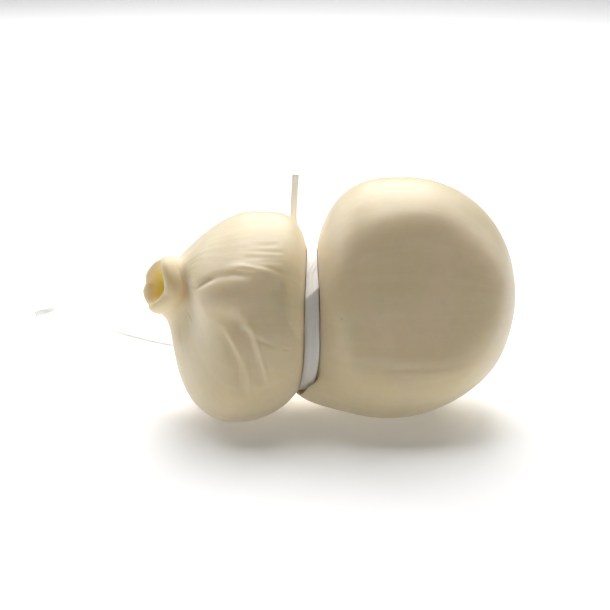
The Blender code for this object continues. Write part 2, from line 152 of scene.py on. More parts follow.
# Folds in the front: places (x, z) along each, depth, the widths on the right and the left of its
# way, and the height of the lip on the left. A negative depth raises a ridge
FOLDS = (
    (((-46.1, 48.9), (-42.1, 53.2), (-37.5, 56.3), (-31.8, 57.9), (-27.4, 57.7), (-23.8, 57.0)),
     0.36, 0.9, 0.8, 0.0),
    (((-46.4, 48.6), (-44.0, 51.2), (-40.4, 54.6), (-36.0, 57.0)), 0.35, 0.6, 0.6, 0.0),
    (((-36.0, 57.9), (-31.0, 59.5), (-26.3, 59.9), (-20.9, 58.8), (-14.7, 56.4)),
     -0.32, 1.0, 0.9, 0.0),
    (((-30.0, 61.2), (-25.1, 60.2), (-20.1, 59.3), (-15.9, 57.5), (-11.6, 55.4)),
     0.25, 0.5, 0.6, 0.0),
    (((-30.9, 59.1), (-26.8, 59.3), (-23.1, 58.5)), 0.18, 0.35, 0.35, 0.05),
    (((-29.0, 61.8), (-22.0, 61.9), (-13.5, 61.2)), 0.2, 0.4, 0.4, 0.06),
    (((-24.5, 60.9), (-19.1, 60.7), (-13.5, 60.0)), 0.15, 0.35, 0.35, 0.06),
    (((-26.0, 63.3), (-20.1, 63.2), (-13.5, 62.5)), 0.16, 0.4, 0.4, 0.05),
    (((-24.5, 64.5), (-20.1, 64.6), (-16.0, 64.8)), 0.14, 0.4, 0.4, 0.05),
    (((-23.5, 61.4), (-18.4, 61.2), (-14.5, 60.9)), 0.1, 0.25, 0.25, 0.05),
    (((-36.0, 42.5), (-32.3, 35.0), (-30.4, 30.5), (-28.6, 24.3), (-28.0, 17.0)),
     0.95, 2.6, 1.0, 0.36),
    (((-30.4, 48.4), (-28.3, 41.9), (-26.4, 38.6), (-23.5, 28.0), (-21.2, 20.0)),
     0.95, 2.6, 1.0, 0.34),
    (((-29.6, 47.9), (-27.9, 44.5), (-26.0, 41.6), (-23.4, 39.8), (-18.0, 36.4)),
     -0.3, 1.5, 2.0, 0.0),
    (((-26.6, 39.2), (-21.9, 37.0), (-16.0, 34.0)), 0.15, 0.6, 0.9, 0.0),
    (((-16.9, 57.0), (-15.7, 50.8), (-14.3, 44.7), (-12.4, 39.8), (-9.8, 33.5)),
     0.8, 3.4, 1.3, 0.45),
    (((-16.0, 36.2), (-14.3, 35.7), (-12.7, 35.2)), 0.12, 0.4, 0.4, 0.0),
    (((-15.7, 34.3), (-14.0, 33.7), (-12.4, 33.1)), 0.12, 0.4, 0.4, 0.0),
    (((-47.2, 40.6), (-46.2, 39.2), (-44.8, 37.4)), 0.3, 0.4, 0.4, 0.1),
    (((-49.8, 36.3), (-49.6, 32.0), (-49.1, 28.1)), 0.15, 0.5, 0.5, 0.1),
    (((-41.1, 46.1), (-35.0, 45.2), (-28.9, 43.3)), 0.2, 1.8, 1.8, 0.0),
    (((14.0, 27.0), (24.0, 27.3), (35.0, 27.3), (50.0, 28.8)), 0.2, 0.8, 1.6, 0.08),
    (((10.0, 26.0), (28.0, 23.4), (46.0, 25.0)), 0.22, 3.2, 3.2, 0.0),
)
FOLD_FADE_IN = 0.25
FOLD_FADE_OUT = 0.3
LIP_OFFSET = 1.9
# A fold whose two widths add up to less than this limit gets painted shade: darker colour in a line
# of this width along it
CREASE_SHADE_LIMIT = 2.5
CREASE_SHADE_WIDTH = 0.5 * MM
# Broad swellings and hollows in the front: middle (x, z), half width, half height below and above
# the middle, turn in degrees, and height, which is negative in a hollow
SWELLINGS = (
    ((-19.5, 52.0), 7.5, 10.0, 4.5, 12, -2.2),
    ((-46.2, 47.0), 3.0, 3.0, 3.0, 0, -0.9),
    ((-26.0, 69.0), 15.0, 10.0, 6.0, 0, -1.2),
    ((-32.0, 51.8), 16.0, 6.6, 8.5, 16, 3.5),
    ((-31.0, 10.5), 15.0, 8.0, 13.0, 0, 2.0),
    ((42.0, 68.0), 23.0, 12.0, 8.5, 0, -2.0),
    ((34.0, 22.5), 25.0, 9.0, 8.0, 0, 1.7),
)
# How far from the groove the swellings fade in, and how far in front of y = 0 all relief does
SWELLING_CLEARANCE = (3 * MM, 9 * MM)
RELIEF_DEPTH = 12 * MM

# Gathers round the nozzle, coarse and fine: waves a turn, height, and the distance from the nozzle
# where they begin to fade and how slowly. Both grow between the distances of PLEAT_START, and the
# groove side fades between those of PLEAT_END, which count to the left from x = 0
PLEAT_COUNTS = (13, 17, 22, 27, 31)
PLEAT_HEIGHT = 0.03 * MM
PLEAT_FADE = (12 * MM, 9 * MM)
FINE_PLEAT_COUNTS = (41, 47, 53, 59, 67, 73)
FINE_PLEAT_HEIGHT = 0.022 * MM
FINE_PLEAT_FADE = (10 * MM, 24 * MM)
PLEAT_START = (10 * MM, 15 * MM)
PLEAT_END = (8 * MM, 12 * MM)

# Colour masks: the painted shade in the pinched corner beside the nozzle, the rows that the painted
# shade on the waist covers, and the radii at which the grain's pattern is taken round the cheese,
# the band and the knot
PINCH_SHADE_PLACE = (-47.6 * MM, -13.0 * MM, 45.8 * MM)
PINCH_SHADE_STRENGTH = 0.95
PINCH_SHADE_WIDTH = 2.6 * MM
WAIST_SHADE_ROWS = 4.5
GRAIN_RADIUS = 30 * MM
NECK_GRAIN_RADIUS = 23 * MM
KNOT_GRAIN_RADIUS = 8 * MM
# Small dark pits in the skin: middle and radius
SPECKS = (
    ((14.6, -29.7, 67.5), 0.45), ((47.0, -24.6, 63.3), 0.4), ((25.0, -34.5, 55.4), 0.35),
    ((3.6, -33.6, 43.7), 0.45), ((40.2, -31.0, 22.0), 0.5), ((53.9, -20.0, 24.9), 0.45),
    ((43.1, -22.3, 14.1), 0.5),
)

# The ribbon round the waist: its gaps to the groove's floor and walls, half its width, and how
# steeply its edges thicken. Then of each of its two turns the height over the gap, what its upper
# and its lower face add to that, and its ribs' number and height. Last, the finest ribs' depth
GAP = 0.3 * MM
RIBBON_SIDE_GAP = 0.2 * MM
RIBBON_HALF_WIDTH = 2.5 * MM
EDGE_STEEPNESS = 2.5
BAND_HEIGHT = 0.18 * MM
BAND_FACES = (0.2 * MM, -0.1 * MM)
BAND_RIBS = (7, 0.05 * MM)
BAND_CRUMPLE = 0.16 * MM
OVERLAP_HEIGHT = 0.55 * MM
OVERLAP_FACES = (0.16 * MM, -0.06 * MM)
OVERLAP_RIBS = (4, 0.07 * MM)
OVERLAP_LENGTH = 110 * MM
RIB_DEPTH = 0.08 * MM
# The slanting bend at its front top: angle from the top, slant, reach and height
BEND_TURN = math.radians(54)
BEND_SLANT = math.radians(-9)
BEND_REACH = math.radians(34)
BEND_HEIGHT = 2.4 * MM

# The knot behind the neck: its place, its half sizes, how far the strip's middle lies inside them,
# its height over the ribbon, and its windings and their sway. The strip: half its width and half
# its thickness, how far its edges bend down over the ball, and how far windings rise over others
KNOT_X = -6.6 * MM
KNOT_TURN = math.radians(-70)
KNOT_SIZE = (2.9 * MM, 3.3 * MM, 5.0 * MM)
KNOT_INSET = 0.55 * MM
KNOT_LIFT = 0.7 * MM
KNOT_WINDINGS = 3
KNOT_SWAY = 0.75
STRIP_HALF_WIDTH = 1.3 * MM
STRIP_HALF_THICKNESS = 0.34 * MM
STRIP_BEND = 0.32 * MM
STRIP_RISE = 0.2 * MM
# The angle from the top where the ribbon's second turn ends, just short of the knot
OVERLAP_END = 2 * math.pi + KNOT_TURN - 0.1

# The two free ends: width, the pinched line's offset and width, and routes
TAIL_WIDTH = 2.4 * MM
TAIL_PINCH = (0.1 * MM, 0.35 * MM)
SHORT_TAIL = (
    (-7.0, 22.3, 48.5), (-8.6, 22.3, 51.4), (-10.4, 21.0, 55.0), (-11.6, 19.4, 58.8),
    (-12.1, 18.1, 62.6), (-12.1, 17.4, 66.2), (-11.9, 17.0, 70.2), (-11.7, 16.7, 74.6),
    (-11.4, 16.4, 79.0),
)
LONG_TAIL = (
    (-6.8, 25.7, 38.2), (-7.8, 29.1, 33.2), (-10.2, 33.5, 27.0), (-14.0, 38.5, 20.0),
    (-19.6, 43.7, 13.2), (-26.6, 48.7, 7.6), (-34.6, 53.5, 3.8), (-43.4, 58.1, 1.9),
    (-52.6, 62.7, 1.4), (-62.0, 67.9, 1.3), (-72.0, 74.3, 1.4), (-81.5, 82.1, 2.0),
    (-90.0, 90.1, 3.4), (-97.5, 96.5, 4.8), (-104.5, 99.9, 4.4), (-111.0, 100.7, 2.6),
    (-116.5, 99.5, 1.3),
)
# Each free end: piece, node, route, points along it, the way its flat side looks, thickness, pinch,
# and the share of the route where its twist starts and the degrees that it reaches
TAILS = (
    ("ribbon_end_upright", "ribbon_tail_short", SHORT_TAIL, 60, (0.1, -1.0, 0.1), 0.8 * MM, 0.6,
     (0.0, 12)),
    ("ribbon_end_lying", "ribbon_tail_long", LONG_TAIL, 220, (0.0, -0.1, 1.0), 0.36 * MM, 0.15,
     (0.87, 80)),
)

# How finely the cheese is divided
RING_POINTS = 340
FRONT_CROWDING = 0.6
NOZZLE_INNER_STEPS = 10
LIP_STEPS = 14
TUBE_STEPS = 12
SMALL_OUTER_STEPS = 100
SMALL_INNER_STEPS = 56
NECK_STEPS = 5
BIG_INNER_STEPS = 42
BIG_END_STEPS = 50
# The first rows of the small lobe, of the groove's floor and of the big lobe, and the rows of the
# nozzle's root that are eased, and how often
SMALL_ROW = NOZZLE_INNER_STEPS + LIP_STEPS + TUBE_STEPS
NECK_ROW = SMALL_ROW + SMALL_OUTER_STEPS + SMALL_INNER_STEPS + 1
BIG_ROW = NECK_ROW + NECK_STEPS
ROOT_ROWS = (NOZZLE_INNER_STEPS + LIP_STEPS + 4, SMALL_ROW + 34)
ROOT_ROUNDS = 140
# How finely the ribbon's pieces are divided, along them and round their sections
BAND_POINTS = (400, 44)
OVERLAP_POINTS = (300, 40)
KNOT_POINTS = (420, 24)
TAIL_SECTION_POINTS = 28

RAILS = ("top", "front", "bottom", "back")


def smooth(share):
    """A step from 0 to 1 that starts and ends level."""
    return share * share * (3 - 2 * share)


def step(value, start, end):
    """0 up to start, 1 from end, and a smooth step between them."""
    return smooth(np.clip((value - start) / (end - start), 0, 1))


def bell(value, width):
    """A bell shape of height 1 round 0."""
    return np.exp(-(value / width) ** 2)


def quarter(share, widest_x, radius, end_x, end_radius, power):
    """A rail as a quarter superellipse, from its widest place (share 0) to its end (share 1).

    x = widest_x + reach * sin(turn) ** (2 / power), distance = radius * cos(turn) ** (2 / power).
    """
    end_turn = math.acos(min(1.0, max(0.0, end_radius / radius)) ** (power / 2))
    reach = (end_x - widest_x) / math.sin(end_turn) ** (2 / power)
    turn = share * end_turn
    return widest_x + reach * np.sin(turn) ** (2 / power), radius * np.cos(turn) ** (2 / power)


class Rings:
    """Rows of rings. Each has x and distance from the axis on its four rails, and the axis."""

    def __init__(self):
        self.rows = []

    def add(self, rails, axis_y, axis_z):
        """Add rings. rails maps a rail's name to its x and its distance, each a number a ring."""
        count = len(np.atleast_1d(rails["top"][0]))
        columns = []
        for name in RAILS:
            columns += [np.broadcast_to(value, count) for value in rails[name]]
        columns += [np.broadcast_to(axis_y, count), np.broadcast_to(axis_z, count)]
        self.rows.append(np.stack(columns, axis=1))

    def points(self, turns):
        """All rings' points, one row a ring, at the given angles from the top to the front.

        Height and depth follow quarter ellipses between the rails, and x eases from rail to rail.
        """
        table = np.concatenate(self.rows)[:, :, None]
        x_top, top, x_front, front, x_bottom, bottom, x_back, back, axis_y, axis_z = (
            table.transpose(1, 0, 2))
        up, down = np.maximum(np.cos(turns), 0), np.maximum(-np.cos(turns), 0)
        near, far = np.maximum(np.sin(turns), 0), np.maximum(-np.sin(turns), 0)
        x = x_top * up ** 2 + x_bottom * down ** 2 + x_front * near ** 2 + x_back * far ** 2
        y = axis_y - front * near + back * far
        z = axis_z + top * up - bottom * down
        return np.stack([x, y, z], axis=2)


def nozzle_rails(along, radius):
    """Rails of rings round the nozzle's tilted axis, at distances along it from the lobe."""
    x = NOZZLE_X - along * math.cos(NOZZLE_RISE) * math.cos(NOZZLE_YAW)
    rise, yaw = math.sin(NOZZLE_RISE), math.sin(NOZZLE_YAW)
    tall, wide = radius * math.cos(NOZZLE_RISE), radius * math.cos(NOZZLE_YAW)
    rails = {"top": (x + radius * rise, tall), "bottom": (x - radius * rise, tall),
             "front": (x + radius * yaw, wide), "back": (x - radius * yaw, wide)}
    axis_y = NOZZLE_Y - along * math.cos(NOZZLE_RISE) * yaw
    axis_z = NOZZLE_Z + along * rise
    return rails, axis_y, axis_z


def add_nozzle(rings):
    """The hollow from its floor outwards, the round lip, and the tube back to the lobe."""
    depth = np.linspace(1, 0, NOZZLE_INNER_STEPS + 1)[:-1]
    inner = MOUTH_RADIUS + (HOLLOW_FLOOR_RADIUS - MOUTH_RADIUS) * depth ** 2
    rings.add(*nozzle_rails(NOZZLE_LENGTH - LIP_LENGTH - HOLLOW_DEPTH * depth, inner))
    lip = (NOZZLE_RIM_RADIUS - MOUTH_RADIUS) / 2
    turn = np.linspace(0, math.pi, LIP_STEPS + 1)
    rings.add(*nozzle_rails(NOZZLE_LENGTH - LIP_LENGTH * (1 - np.sin(turn)),
                            MOUTH_RADIUS + lip * (1 - np.cos(turn))))
    share = np.linspace(0, 1, TUBE_STEPS + 1)[1:-1]
    flare = np.cos(share * math.pi / 2) ** 2
    tube = NOZZLE_NECK_RADIUS + (NOZZLE_RIM_RADIUS - NOZZLE_NECK_RADIUS) * flare
    rings.add(*nozzle_rails((NOZZLE_LENGTH - LIP_LENGTH) * (1 - share), tube))


def add_small_lobe(rings):
    """The small lobe, from the nozzle to the groove's wall."""
    start, start_y, start_z = nozzle_rails(0.0, NOZZLE_RADIUS)
    share = np.linspace(1, 0, SMALL_OUTER_STEPS + 1)
    rails = {}
    for name in RAILS:
        widest_x, radius, _, power, _ = SMALL_RAILS[name]
        end_x, end_radius = start[name]
        if name == "top":
            end_radius += start_z - SMALL_AXIS_Z
        elif name == "bottom":
            end_radius -= start_z - SMALL_AXIS_Z
        rails[name] = quarter(share, widest_x, radius, end_x, end_radius, power)
    axis_z = SMALL_AXIS_Z + (start_z - SMALL_AXIS_Z) * smooth(share)
    shift = axis_z - SMALL_AXIS_Z
    rails["top"] = (rails["top"][0], rails["top"][1] - shift)
    rails["bottom"] = (rails["bottom"][0], rails["bottom"][1] + shift)
    rings.add(rails, SMALL_AXIS_Y + (start_y - SMALL_AXIS_Y) * smooth(share), axis_z)

    share = np.linspace(0, 1, SMALL_INNER_STEPS + 1)[1:]
    rails = {}
    for name in RAILS:
        widest_x, radius, wall_radius, _, power = SMALL_RAILS[name]
        end_x = GROOVE_X[name] - GROOVE_WIDTH[name] / 2
        rails[name] = quarter(share, widest_x, radius, end_x, wall_radius, power)
    rings.add(rails, SMALL_AXIS_Y, SMALL_AXIS_Z)


def add_neck(rings, side, spread=0.0):
    """Rings on the groove's floor, at shares of its width plus the spread."""
    side = np.array(side)
    rings.add({name: (GROOVE_X[name] + side * (GROOVE_WIDTH[name] + spread), NECK_RADIUS)
               for name in RAILS}, NECK_AXIS_Y, NECK_AXIS_Z)


def add_big_lobe(rings):
    """The big lobe, from the groove's wall to its far end."""
    share = np.linspace(1, 0, BIG_INNER_STEPS + 1)
    rails = {}
    for name in RAILS:
        widest_x, radius, wall_radius, power, _ = BIG_RAILS[name]
        end_x = GROOVE_X[name] + GROOVE_WIDTH[name] / 2
        rails[name] = quarter(share, widest_x, radius, end_x, wall_radius, power)
    rings.add(rails, BIG_AXIS_Y, BIG_AXIS_Z)

    share = np.linspace(0, 1, BIG_END_STEPS + 1)[1:-1]
    rails = {}
    for name in RAILS:
        widest_x, radius, _, _, power = BIG_RAILS[name]
        rails[name] = quarter(share, widest_x, radius, BIG_END_X, 0.0, power)
    rings.add(rails, BIG_AXIS_Y, BIG_AXIS_Z)


def press_front_flat(points):
    """Ease the big lobe's front into a flat that leans back.

    What stands past the flat, by p, is pressed to softness * (1 - e ** (-p / softness)).
    """
    x, y, z = points[..., 0], points[..., 1], points[..., 2]
    start = FLAT_START[0] + (FLAT_START[1] - FLAT_START[0]) * step(z, *FLAT_HEIGHTS)
    corner = (FLAT_CORNER_WAY[0] * (x - FLAT_CORNER_FROM[0])
              + FLAT_CORNER_WAY[1] * (z - FLAT_CORNER_FROM[1]))
    start -= FLAT_CORNER * step(corner, *FLAT_CORNER_REACH)
    past = np.maximum(-y - start, 0) * step(x, *FLAT_LEFT)
    points[..., 1] = y + past - FLAT_SOFTNESS * (1 - np.exp(-past / FLAT_SOFTNESS))


def lean_wall(points):
    """Lean the big lobe over the groove at the front's foot, so that it hides the ribbon there."""
    _, y, z = points.transpose(2, 0, 1)
    across, up = NECK_AXIS_Y - y, z - NECK_AXIS_Z
    turn = np.degrees(np.arctan2(across, up)) % 360
    height = np.hypot(across, up) - NECK_RADIUS
    x = points[..., 0]
    amount = (step(turn, *LEAN_TURNS) * (1 - step(turn, *LEAN_END_TURNS))
              * step(height, *LEAN_HEIGHTS) * (1 - step(x, *LEAN_REACH)))
    points[..., 0] = x - LEAN * amount


def smooth_route(places, count):
    """Points at even shares of a smooth curve through the places, by Catmull and Rom's rule."""
    places = np.array(places) * MM
    padded = np.concatenate([[2 * places[0] - places[1]], places, [2 * places[-1] - places[-2]]])
    at = np.linspace(0, len(places) - 1, count)
    first = np.minimum(at.astype(int), len(places) - 2)
    share = (at - first)[:, None]
    a, b, c, d = (padded[first + place] for place in range(4))
    return 0.5 * (2 * b + (c - a) * share + (2 * a - 5 * b + 4 * c - d) * share ** 2
                  + (3 * b - a - 3 * c + d) * share ** 3)


def route_distance(x, z, places, steps=24):
    """Distance to the curve through the places, positive on its left, and the share along it."""
    path = smooth_route(places, steps + 1)
    along = np.diff(path, axis=0)
    place = np.stack([x, z], axis=-1)[..., None, :]
    offset = place - path[:-1]
    length = np.sum(along ** 2, axis=-1)
    nearest = np.clip(np.sum(offset * along, axis=-1) / length, 0, 1)
    gap = offset - nearest[..., None] * along
    distance = np.sqrt(np.sum(gap ** 2, axis=-1))
    pick = np.argmin(distance, axis=-1)[..., None]
    side = along[:, 0] * offset[..., 1] - along[:, 1] * offset[..., 0]
    distance = np.take_along_axis(distance, pick, -1)[..., 0]
    side = np.sign(np.take_along_axis(side, pick, -1)[..., 0])
    nearest = (np.take_along_axis(nearest, pick, -1)[..., 0] + pick[..., 0]) / steps
    return distance * side, nearest


def fold_relief(points):
    """How far the folds raise the skin, and how much painted shade each place gets along their
    creases.

    A fold is bell-shaped across, with a width of its own on each side and a lip on its left, and
    fades at both ends.
    """
    x, z = points[..., 0], points[..., 2]
    rise, furrows = np.zeros_like(x), np.zeros_like(x)
    for places, depth, right_width, left_width, lip in FOLDS:
        distance, share = route_distance(x, z, places)
        fade = step(share, 0, FOLD_FADE_IN) * step(1 - share, 0, FOLD_FADE_OUT)
        across = distance / (np.where(distance < 0, right_width, left_width) * MM)
        rise += (lip * bell(across - LIP_OFFSET, 1) - depth * bell(across, 1)) * MM * fade
        if right_width + left_width < CREASE_SHADE_LIMIT:
            furrows += max(depth, 0) * bell(distance, CREASE_SHADE_WIDTH) * fade
    return rise, furrows


def broad_relief(points):
    """How far the swellings raise the skin, away from the groove: bells over uneven ellipses."""
    x, z = points[..., 0], points[..., 2]
    rise = np.zeros_like(x)
    for middle, half_width, below, above, turn, height in SWELLINGS:
        turn = math.radians(turn)
        across, up = x - middle[0] * MM, z - middle[1] * MM
        u = across * math.cos(turn) + up * math.sin(turn)
        v = up * math.cos(turn) - across * math.sin(turn)
        rise += (height * MM * bell(u, half_width * MM)
                 * bell(v, np.where(v < 0, below, above) * MM))
    return rise * step(np.abs(x - GROOVE_X["front"]), *SWELLING_CLEARANCE)


def outward(points):
    """Unit normals of a grid of rings, from the differences along it and round it."""
    along = np.gradient(points, axis=0)
    around = np.roll(points, -1, axis=1) - np.roll(points, 1, axis=1)
    normal = np.cross(around, along)
    return normal / np.linalg.norm(normal, axis=2, keepdims=True)


def round_nozzle(points):
    """Angle round the nozzle's axis, distance from its root, and height along the axis."""
    side = np.cross(NOZZLE_AXIS, (0, 0, 1))
    side /= np.linalg.norm(side)
    up = np.cross(side, NOZZLE_AXIS)
    offset = points - NOZZLE_ROOT
    angle = np.arctan2(offset @ side, offset @ up)
    return angle, np.linalg.norm(offset, axis=-1), offset @ NOZZLE_AXIS


def waves(angle, counts, seed):
    """A sum of sines round a full turn, with whole wave counts and seeded phases, about -1 to 1."""
    random = np.random.default_rng(seed)
    total = np.zeros_like(angle)
    for count in counts:
        total += np.sin(count * angle + random.uniform(0, 2 * math.pi)) / len(counts) ** 0.5
    return total


def pleats(points):
    """Fine gathers that run out from the nozzle over the small lobe and fade away from it."""
    angle, distance, _ = round_nozzle(points)
    drift = 0.12 * np.sin(distance / (7 * MM))
    wide = 1 - np.abs(waves(angle + drift, PLEAT_COUNTS, 3))
    fine = waves(angle - drift, FINE_PLEAT_COUNTS, 5)
    near = bell(np.maximum(distance - PLEAT_FADE[0], 0), PLEAT_FADE[1])
    far = bell(np.maximum(distance - FINE_PLEAT_FADE[0], 0), FINE_PLEAT_FADE[1])
    height = PLEAT_HEIGHT * (wide - 0.5) * near + FINE_PLEAT_HEIGHT * fine * far
    return height * step(distance, *PLEAT_START) * step(-points[..., 0], *PLEAT_END)


def turned_bell(angle, middle, width):
    """A bell shape over an angle in degrees, the short way round."""
    away = np.angle(np.exp(1j * (angle - math.radians(middle))))
    return bell(away, math.radians(width))


def uneven_lip(points):
    """How the nozzle's rim differs from a round one, moved along the axis and out from it.

    The mouth is taller than wide. On its far side the lip is fat low down, notched above that and
    thin near the top, and the near side has a small bump inside.
    """
    angle, _, height = round_nozzle(points)
    near_rim = step(height, 1.0 * MM, 6 * MM)
    rows = np.arange(len(points))[:, None]
    inside = 1 - step(rows, NOZZLE_INNER_STEPS, NOZZLE_INNER_STEPS + LIP_STEPS * 0.7)
    along = 0.2 * waves(angle, (2, 3), 11)
    outer = np.zeros_like(angle)
    inner = MOUTH_TALLER * np.cos(angle) ** 2 - MOUTH_NARROWER
    for middle, width, forward, outside_out, inside_out in LIP_BELLS:
        shape = turned_bell(angle, middle, width)
        along += forward * shape
        outer += outside_out * shape
        inner += inside_out * shape
    outer = outer * (1 - inside) + 0.12 * waves(angle, (2, 3, 4), 12)
    return along * near_rim * MM, (outer * near_rim + inner * inside) * MM


def ease_root(points):
    """Fillet the corner where the nozzle meets the lobe, by averaging rings with those beside."""
    first, last = ROOT_ROWS
    for _ in range(ROOT_ROUNDS):
        points[first:last] = (points[first - 1:last - 1] + 2 * points[first:last]
                              + points[first + 1:last + 1]) / 4


def crowded_turns(count):
    """Angles round a ring, from the top, standing closer together at the front."""
    even = np.arange(count) * 2 * math.pi / count
    return even + FRONT_CROWDING * np.cos(even)


def cheese_points(turns):
    """The rings of the cheese as an array: ring, angle, coordinate, and its creases' painted shade.
    """
    rings = Rings()
    add_nozzle(rings)
    add_small_lobe(rings)
    add_neck(rings, np.linspace(-0.5, 0.5, NECK_STEPS))
    add_big_lobe(rings)
    points = rings.points(turns)
    press_front_flat(points)
    lean_wall(points[BIG_ROW:])
    furrows = np.zeros(points.shape[:2])
    ease_root(points)
    lobes = points[NOZZLE_INNER_STEPS:]
    front = step(-lobes[..., 1], 0, RELIEF_DEPTH)
    lobes += outward(lobes) * (broad_relief(lobes) * front)[..., None]
    rise, furrows[NOZZLE_INNER_STEPS:] = fold_relief(lobes)
    lobes += outward(lobes) * (rise * front + pleats(lobes))[..., None]
    along, out = uneven_lip(points)
    points += along[..., None] * NOZZLE_AXIS
    offset = points - NOZZLE_ROOT
    radial = offset - (offset @ NOZZLE_AXIS)[..., None] * NOZZLE_AXIS
    radial /= np.linalg.norm(radial, axis=2, keepdims=True)
    points += out[..., None] * radial
    points[..., 2] = np.maximum(points[..., 2], 0)
    furrows *= step(-points[..., 1], 0, RELIEF_DEPTH)
    return points, furrows


def shell(name, points, wrap_rows=False, caps=None, **values):
    """A closed mesh over a grid of points, round along its second direction.

    Quads join neighbours. The first direction is wrapped too, or ends in fans to the two caps.
    values are attributes, one number or three for each point of the grid.
    """
    rows, columns = points.shape[:2]
    index = np.arange(rows * columns).reshape(rows, columns)
    if wrap_rows:
        index = np.vstack([index, index[:1]])
    index = np.hstack([index, index[:, :1]])
    quads = np.stack([index[:-1, :-1], index[:-1, 1:], index[1:, 1:], index[1:, :-1]], axis=-1)
    faces = quads.reshape(-1, 4).tolist()
    vertices = points.reshape(-1, 3)
    values = {key: value.reshape(rows * columns, -1) for key, value in values.items()}
    if not wrap_rows:
        for cap, row, ring in ((caps[0], 0, index[0]), (caps[1], rows - 1, index[-1][::-1])):
            top = np.full(columns, len(vertices))
            faces += np.stack([top, ring[1:], ring[:-1]], axis=1).tolist()
            vertices = np.vstack([vertices, [cap]])
            beside = slice(row * columns, (row + 1) * columns)
            values = {key: np.vstack([value, value[beside].mean(axis=0)])
                      for key, value in values.items()}
    mesh = bpy.data.meshes.new(name)
    if signed_volume(vertices, faces) < 0:
        faces = [face[::-1] for face in faces]
    mesh.from_pydata(vertices.tolist(), [], faces)
    for key, value in values.items():
        single = value.shape[1] == 1
        attribute = mesh.attributes.new(key, "FLOAT" if single else "FLOAT_VECTOR", "POINT")
        attribute.data.foreach_set("value" if single else "vector", value.ravel())
    mesh.shade_smooth()
    mesh.update()
    piece = bpy.data.objects.new(name, mesh)
    bpy.context.scene.collection.objects.link(piece)
    return piece


def signed_volume(vertices, faces):
    """The volume inside the faces, negative where they point inwards."""
    corners = np.array([face[:3] for face in faces] + [[f[0], f[2], f[3]] for f in faces if f[3:]])
    a, b, c = (vertices[corners[:, side]] for side in range(3))
    return np.sum(np.cross(a, b) * c) / 6


def cheese():
    """The whole cheese, with masks for its mouth and for painted shade in creases, pinched neck and
    waist.
    """
    turns = crowded_turns(RING_POINTS)
    points, furrows = cheese_points(turns)
    rows = np.arange(len(points))
    mouth = 1 - step(rows, NOZZLE_INNER_STEPS - 2, NOZZLE_INNER_STEPS + LIP_STEPS * 0.45)
    mouth = np.broadcast_to(mouth[:, None], furrows.shape)
    # Painted shade in the pinched corner where the nozzle meets the small lobe
    away = np.linalg.norm(points - np.array(PINCH_SHADE_PLACE), axis=-1)
    pinch = PINCH_SHADE_STRENGTH * bell(away, PINCH_SHADE_WIDTH)
    # Painted shade round the waist, over the groove's floor and the foot of its walls
    waist = np.broadcast_to(bell(rows - NECK_ROW - 1, WAIST_SHADE_ROWS)[:, None], furrows.shape)
    steps = np.linalg.norm(np.diff(points, axis=0), axis=-1).mean(axis=1)
    along = np.concatenate([[0], np.cumsum(steps)])
    grain = np.stack([np.broadcast_to(GRAIN_RADIUS * np.cos(turns), furrows.shape),
                      np.broadcast_to(GRAIN_RADIUS * np.sin(turns), furrows.shape),
                      np.broadcast_to(along[:, None], furrows.shape)], axis=-1)
    floor = points[0].mean(axis=0)
    end = (BIG_END_X, BIG_AXIS_Y, BIG_AXIS_Z)
    return shell("cheese_skin", points, caps=(floor, end), furrow=furrows, mouth=mouth,
                 pinch=pinch, waist=waist, grain=grain)


def ribbon_tail(name, places, count, facing, thickness, pinch, twist):
    """A free end: a flat strip folded lengthwise into two strands, carried along its route.

    The section is a flat oval, pinched in its middle: across = half * cos(t), out = thick * sin(t)
    * (1 - pinch * bell(across)). facing is the way its flat side looks, and twist is the share of
    the route where it starts to turn about its length and the angle that it reaches at its end.
    """
    route = smooth_route(places, count)
    tangent = np.gradient(route, axis=0)
    tangent /= np.linalg.norm(tangent, axis=1, keepdims=True)
    across = np.cross(tangent, facing)
    across /= np.linalg.norm(across, axis=1, keepdims=True)
    out = np.cross(across, tangent)
    share = np.linspace(0, 1, count)
    lean = math.radians(twist[1]) * step(share, twist[0], 1)
    across, out = (across * np.cos(lean)[:, None] + out * np.sin(lean)[:, None],
                   out * np.cos(lean)[:, None] - across * np.sin(lean)[:, None])
    turn = np.linspace(0, 2 * math.pi, TAIL_SECTION_POINTS, endpoint=False)
    wide = TAIL_WIDTH / 2 * np.cos(turn)
    thick = thickness / 2 * np.sin(turn) * (1 - pinch * bell(wide - TAIL_PINCH[0], TAIL_PINCH[1]))
    points = (route[:, None] + across[:, None] * wide[None, :, None]
              + out[:, None] * thick[None, :, None])
    points[..., 2] = np.maximum(points[..., 2], 0.1 * MM)
    length = np.concatenate([[0], np.cumsum(np.linalg.norm(np.diff(route, axis=0), axis=1))])
    shape = points.shape[:2]
    grain = np.stack([np.broadcast_to(wide, shape), np.broadcast_to(length[:, None], shape),
                      np.zeros(shape)], axis=-1)
    piece = shell(name, points, caps=(route[0], route[-1]), grain=grain)
    return piece, route, length[-1]


def neck_place(side, turns, lift):
    """Points on a ring over the groove's floor, at one share of its width, lifted off it."""
    rings = Rings()
    add_neck(rings, [side], -2 * RIBBON_SIDE_GAP)
    ring = rings.points(turns)[0]
    away = (ring - (0, NECK_AXIS_Y, NECK_AXIS_Z)) * (0, 1, 1)
    away /= np.linalg.norm(away, axis=1, keepdims=True)
    return ring + away * np.broadcast_to(lift, len(turns))[:, None]


